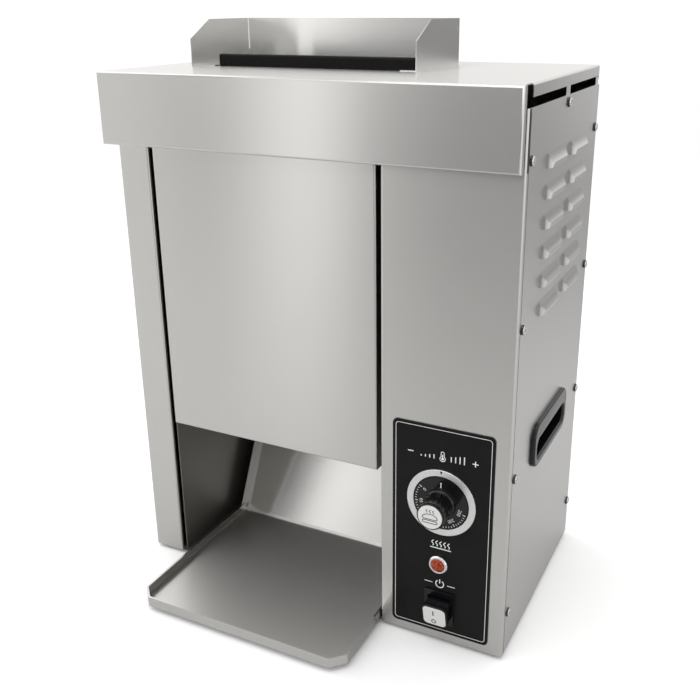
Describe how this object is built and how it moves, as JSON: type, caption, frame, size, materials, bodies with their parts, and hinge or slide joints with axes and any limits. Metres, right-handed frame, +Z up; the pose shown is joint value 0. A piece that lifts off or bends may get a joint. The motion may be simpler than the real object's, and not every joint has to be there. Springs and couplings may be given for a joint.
{
  "type": "conveyor toaster",
  "caption": "Upright conveyor bun toaster: slotted lid with a guard, lift-off front door, landing tray with a sloped chute, knob, lamp and rocker on a side column, louvred side, pocket handles.",
  "frame": {"origin": "on the surface the feet stand on, under the middle of the bounding box", "axes": "+X to the right of a user facing the controls, -Y towards that user, +Z up"},
  "size_m": [0.4285, 0.342, 0.5785],
  "materials": {
    "body_steel": "brushed stainless sheet, vertical grain",
    "lid_steel": "brushed stainless sheet, long grain, bright on top",
    "door_steel": "brushed stainless sheet, vertical grain",
    "tray_steel": "brushed stainless sheet, grain from side to side",
    "inner_steel": "plain mill-finish stainless sheet",
    "coated_steel": "satin black heat-proof coating",
    "screw_steel": "bright zinc-plated pan heads",
    "roller_steel": "turned surface",
    "bush_bronze": "plain bearing bronze",
    "belt_steel": "fine woven wire belt",
    "platen_metal": "machined casting",
    "release_cloth": "brown coated glass cloth",
    "heater_sheath": "dull heat-stained sheath",
    "ceramic": "white glazed ceramic",
    "gear_metal": "oiled sintered steel",
    "motor_paint": "dark grey enamel",
    "black_plastic": "fine satin moulding",
    "black_gloss": "smooth glossy moulding",
    "control_print": "glossy black plate with light line work",
    "bezel_metal": "satin anodised ring",
    "white_plastic": "white glossy moulding",
    "lamp_amber": "translucent orange-red lens",
    "lamp_chrome": "polished ring",
    "foot_rubber": "black moulded rubber",
    "grey_plastic": "grey moulded insulation"
  },
  "bodies": {
    "cabinet": {"base_plate": "inner_steel", "rubber_feet": "foot_rubber", "left_post": "body_steel", "front_column": "body_steel", "left_side_panel": "body_steel", "right_side_panel": "body_steel", "rear_panel": "body_steel", "chamber_liner": "inner_steel", "compartment_wall": "inner_steel", "top_cover": "lid_steel", "feed_guard": "lid_steel", "feed_lip": "coated_steel", "door_rail": "inner_steel", "chute_deflector": "inner_steel", "heat_shield": "inner_steel", "shaft_bushes": "bush_bronze", "front_belt": "belt_steel", "rear_belt": "belt_steel", "front_backing_plate": "inner_steel", "rear_backing_plate": "inner_steel", "heated_platen": "platen_metal", "release_sheet": "release_cloth", "platen_spacers": "inner_steel", "heater_rods": "heater_sheath", "heater_insulators": "ceramic", "idler_gear_pin": "inner_steel", "motor_bracket": "inner_steel", "gearmotor": "motor_paint", "terminal_block": "grey_plastic", "control_plate": "control_print", "knob_bezel": "bezel_metal", "thermostat": "grey_plastic", "lamp_bezel": "lamp_chrome", "lamp_lens": "lamp_amber", "lamp_holder": "black_plastic", "switch_housing": "black_gloss", "handle_right": "black_plastic", "handle_left": "black_plastic", "panel_screws": "screw_steel", "cable_gland": "black_plastic", "gland_nut": "black_plastic"},
    "door": {"front_door": "door_steel"},
    "tray": {"landing_tray": "tray_steel"},
    "knob": {"control_knob": "black_plastic", "knob_cap": "white_plastic", "thermostat_spindle": "inner_steel"},
    "rocker": {"switch_rocker": "black_gloss", "rocker_face": "white_plastic"},
    "front_drive": {"front_drive_roller": "roller_steel", "front_gear": "gear_metal"},
    "rear_drive": {"rear_drive_roller": "roller_steel", "rear_gear": "gear_metal"},
    "front_idler": {"front_idler_roller": "roller_steel"},
    "rear_idler": {"rear_idler_roller": "roller_steel"},
    "middle_gear": {"idler_gear": "gear_metal"},
    "motor_output": {"motor_gear": "gear_metal", "motor_output_shaft": "inner_steel"}
  },
  "joints": [
    {"name": "tray_slide", "type": "slide", "parent": "cabinet", "child": "tray", "axis": [0, -1, 0], "range_m": [0, 0.2]},
    {"name": "door_lift", "type": "slide", "parent": "cabinet", "child": "door", "axis": [0, 0, 1], "range_m": [0, 0.014]},
    {"name": "thermostat_turn", "type": "hinge", "parent": "cabinet", "child": "knob", "pos_m": [0.14565, -0.0868, 0.1572], "axis": [0, 1, 0], "range_deg": [0, 250]},
    {"name": "power_rocker", "type": "hinge", "parent": "cabinet", "child": "rocker", "pos_m": [0.14565, -0.084, 0.042], "axis": [1, 0, 0], "range_deg": [-24, 0]},
    {"name": "front_drive_spin", "type": "hinge", "parent": "cabinet", "child": "front_drive", "pos_m": [-0.0345, -0.0065, 0.239], "axis": [1, 0, 0], "continuous": true},
    {"name": "middle_gear_spin", "type": "hinge", "parent": "cabinet", "child": "middle_gear", "pos_m": [-0.0345, 0.0335, 0.239], "axis": [1, 0, 0], "continuous": true},
    {"name": "motor_output_spin", "type": "hinge", "parent": "cabinet", "child": "motor_output", "pos_m": [-0.0345, 0.0735, 0.239], "axis": [1, 0, 0], "continuous": true},
    {"name": "rear_drive_spin", "type": "hinge", "parent": "cabinet", "child": "rear_drive", "pos_m": [-0.0345, 0.1135, 0.239], "axis": [1, 0, 0], "continuous": true},
    {"name": "front_idler_spin", "type": "hinge", "parent": "cabinet", "child": "front_idler", "pos_m": [-0.0345, -0.0065, 0.494], "axis": [1, 0, 0], "continuous": true},
    {"name": "rear_idler_spin", "type": "hinge", "parent": "cabinet", "child": "rear_idler", "pos_m": [-0.0345, 0.1135, 0.494], "axis": [1, 0, 0], "continuous": true}
  ],
  "couplings": [
    {"joint": "middle_gear_spin", "follows": "front_drive_spin", "ratio": -1},
    {"joint": "motor_output_spin", "follows": "front_drive_spin", "ratio": 1},
    {"joint": "rear_drive_spin", "follows": "front_drive_spin", "ratio": -1},
    {"joint": "front_idler_spin", "follows": "front_drive_spin", "ratio": 1},
    {"joint": "rear_idler_spin", "follows": "front_drive_spin", "ratio": -1}
  ]
}
